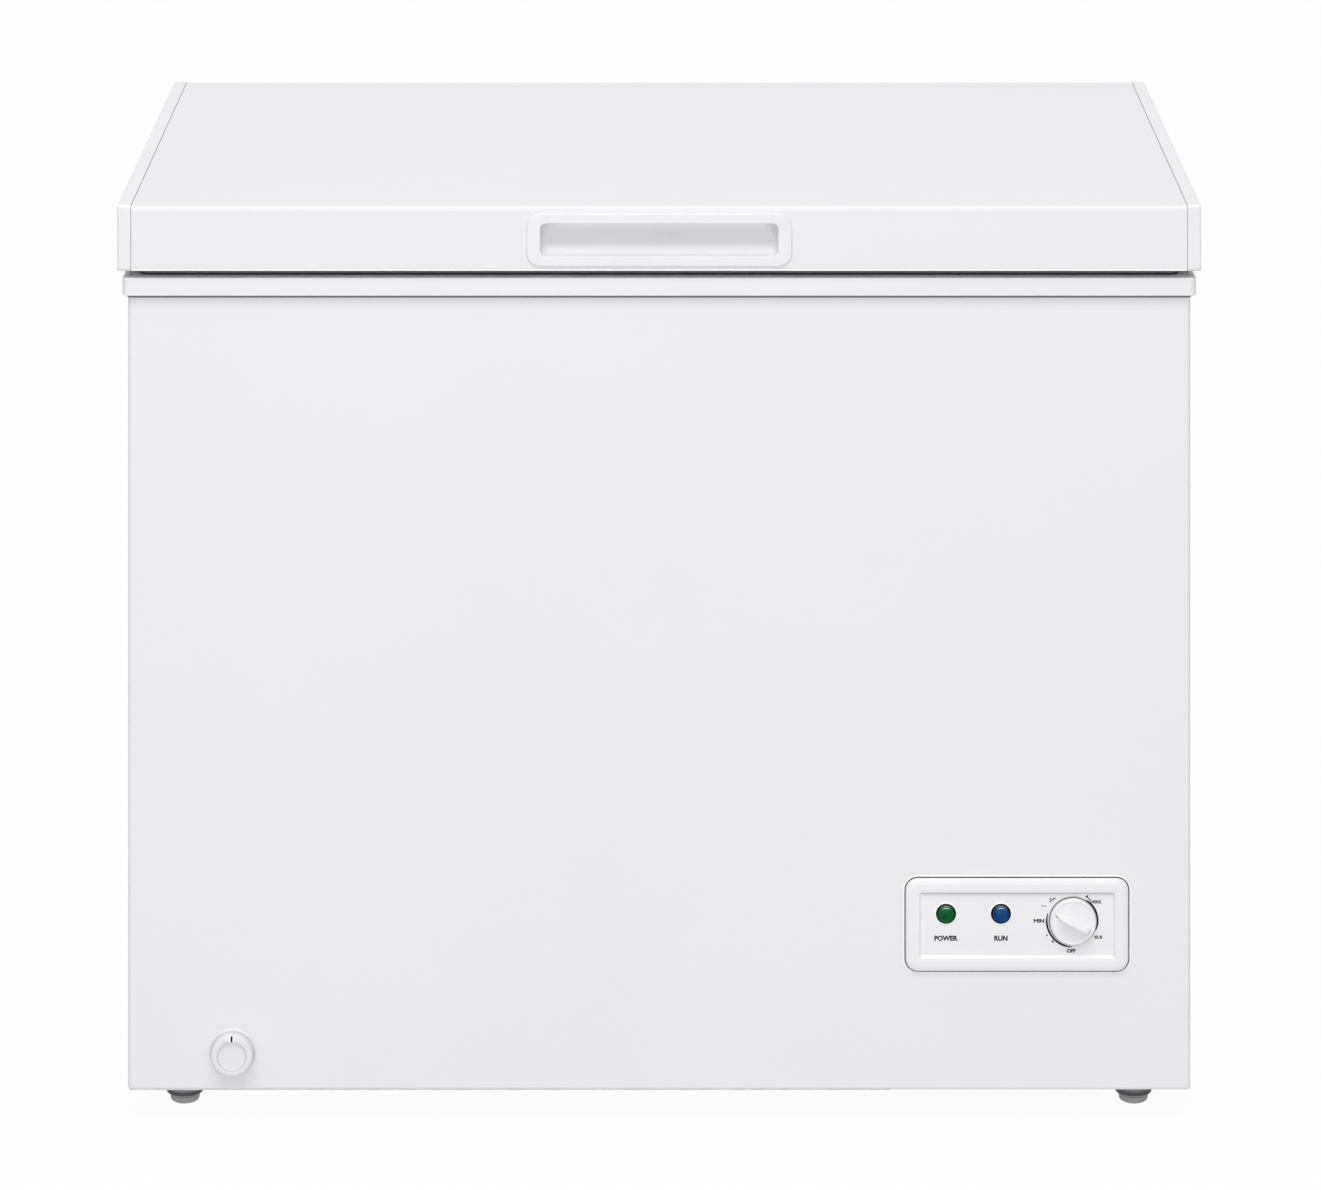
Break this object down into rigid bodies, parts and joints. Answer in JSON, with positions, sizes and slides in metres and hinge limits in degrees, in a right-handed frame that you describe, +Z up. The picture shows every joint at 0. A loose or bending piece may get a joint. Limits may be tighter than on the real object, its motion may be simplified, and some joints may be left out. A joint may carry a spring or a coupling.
{
  "type": "chest freezer",
  "caption": "Chest freezer with a hinged insulated lid, recessed front handle, low control panel, drain outlet and sealed cooling circuit.",
  "frame": {"origin": "centre of the overall box on the floor plane under the feet", "axes": "+X to the right seen from the front, +Y to the back, +Z up"},
  "size_m": [1, 0.582, 0.85],
  "materials": {
    "white_enamel": "smooth baked white enamel on steel",
    "white_plastic": "satin white moulded ABS",
    "liner_white": "white coated aluminium sheet",
    "galvanised_steel": "galvanised sheet steel",
    "foam": "rigid polyurethane foam",
    "aluminium_tube": "drawn aluminium tube",
    "copper": "drawn copper tube",
    "black_enamel": "black enamelled steel",
    "black_rubber": "matte black rubber",
    "dark_plastic": "matte dark plastic",
    "grey_plastic": "matte grey moulded plastic",
    "gasket_rubber": "soft charcoal magnetic gasket",
    "green_lens": "clear green moulded lens",
    "blue_lens": "clear blue moulded lens",
    "lamp": "small indicator lamp",
    "zinc": "bright zinc plated steel",
    "spring_steel": "oiled spring steel",
    "basket_wire": "white plastic coated wire",
    "grip_blue": "blue moulded grip",
    "wire_insulation": "grey wire insulation"
  },
  "bodies": {
    "cabinet": {"outer_wrap": "white_enamel", "back_panel": "galvanised_steel", "bottom_pan": "galvanised_steel", "inner_liner": "liner_white", "foam_insulation": "foam", "compressor_bulkhead": "galvanised_steel", "top_collar": "white_plastic", "base_rail_left": "galvanised_steel", "base_rail_right": "galvanised_steel", "evaporator_tube": "aluminium_tube", "condenser_tube": "copper", "compressor_lower_shell": "black_enamel", "compressor_upper_shell": "black_enamel", "compressor_grommets": "black_rubber", "compressor_nuts": "zinc", "compressor_base_plate": "galvanised_steel", "terminal_cover": "dark_plastic", "start_relay": "grey_plastic", "filter_drier": "copper", "suction_line": "copper", "discharge_line": "copper", "capillary_tube": "copper", "rear_grille": "dark_plastic", "grille_screws": "zinc", "thermostat_body": "zinc", "control_panel": "white_plastic", "control_box": "grey_plastic", "power_lens": "green_lens", "run_lens": "blue_lens", "indicator_lamps": "lamp", "wiring_harness": "wire_insulation", "cord_gland": "black_rubber", "drain_elbow": "grey_plastic", "drain_flange": "white_plastic", "hinge_bracket_left": "zinc", "hinge_bracket_right": "zinc", "hinge_pins": "zinc", "hinge_springs": "spring_steel", "hinge_bracket_screws": "zinc"},
    "lid": {"lid_outer_shell": "white_enamel", "lid_end_cap_left": "white_plastic", "lid_end_cap_right": "white_plastic", "lid_inner_panel": "white_plastic", "lid_foam": "foam", "lid_gasket": "gasket_rubber", "lid_handle": "white_plastic", "hinge_leaf_left": "zinc", "hinge_leaf_right": "zinc", "hinge_leaf_screws": "zinc"},
    "temperature_dial": {"temperature_knob": "white_plastic", "thermostat_shaft": "zinc"},
    "drain_tube": {"drain_pipe": "grey_plastic"},
    "drain_cover": {"drain_cap": "white_plastic"},
    "tub_plug": {"tub_drain_plug": "grey_plastic"},
    "basket": {"storage_basket": "basket_wire", "basket_grips": "grip_blue"},
    "foot_fl": {"foot_front_left": "grey_plastic"},
    "foot_fr": {"foot_front_right": "grey_plastic"},
    "foot_rl": {"foot_rear_left": "grey_plastic"},
    "foot_rr": {"foot_rear_right": "grey_plastic"}
  },
  "joints": [
    {"name": "lid_hinge", "type": "hinge", "parent": "cabinet", "child": "lid", "pos_m": [0, 0.283, 0.786], "axis": [-1, 0, 0], "range_deg": [0, 80], "stiffness_Nm_per_rad": 7, "springref_deg": 100.27},
    {"name": "temperature_turn", "type": "hinge", "parent": "cabinet", "child": "temperature_dial", "pos_m": [0.382, -0.28, 0.1873], "axis": [0, 1, 0], "range_deg": [-120, 100]},
    {"name": "drain_pull", "type": "slide", "parent": "cabinet", "child": "drain_tube", "axis": [0, -1, 0], "range_m": [0, 0.03]},
    {"name": "drain_cover_turn", "type": "hinge", "parent": "drain_tube", "child": "drain_cover", "pos_m": [-0.394, -0.283, 0.066], "axis": [0, 1, 0], "range_deg": [0, 180]},
    {"name": "tub_plug_lift", "type": "slide", "parent": "cabinet", "child": "tub_plug", "axis": [0, 0, 1], "range_m": [0, 0.04]},
    {"name": "basket_slide", "type": "slide", "parent": "cabinet", "child": "basket", "axis": [1, 0, 0], "range_m": [0, 0.56]},
    {"name": "foot_fl_level", "type": "slide", "parent": "cabinet", "child": "foot_fl", "axis": [0, 0, -1], "range_m": [0, 0.008]},
    {"name": "foot_fr_level", "type": "slide", "parent": "cabinet", "child": "foot_fr", "axis": [0, 0, -1], "range_m": [0, 0.008]},
    {"name": "foot_rl_level", "type": "slide", "parent": "cabinet", "child": "foot_rl", "axis": [0, 0, -1], "range_m": [0, 0.008]},
    {"name": "foot_rr_level", "type": "slide", "parent": "cabinet", "child": "foot_rr", "axis": [0, 0, -1], "range_m": [0, 0.008]}
  ]
}
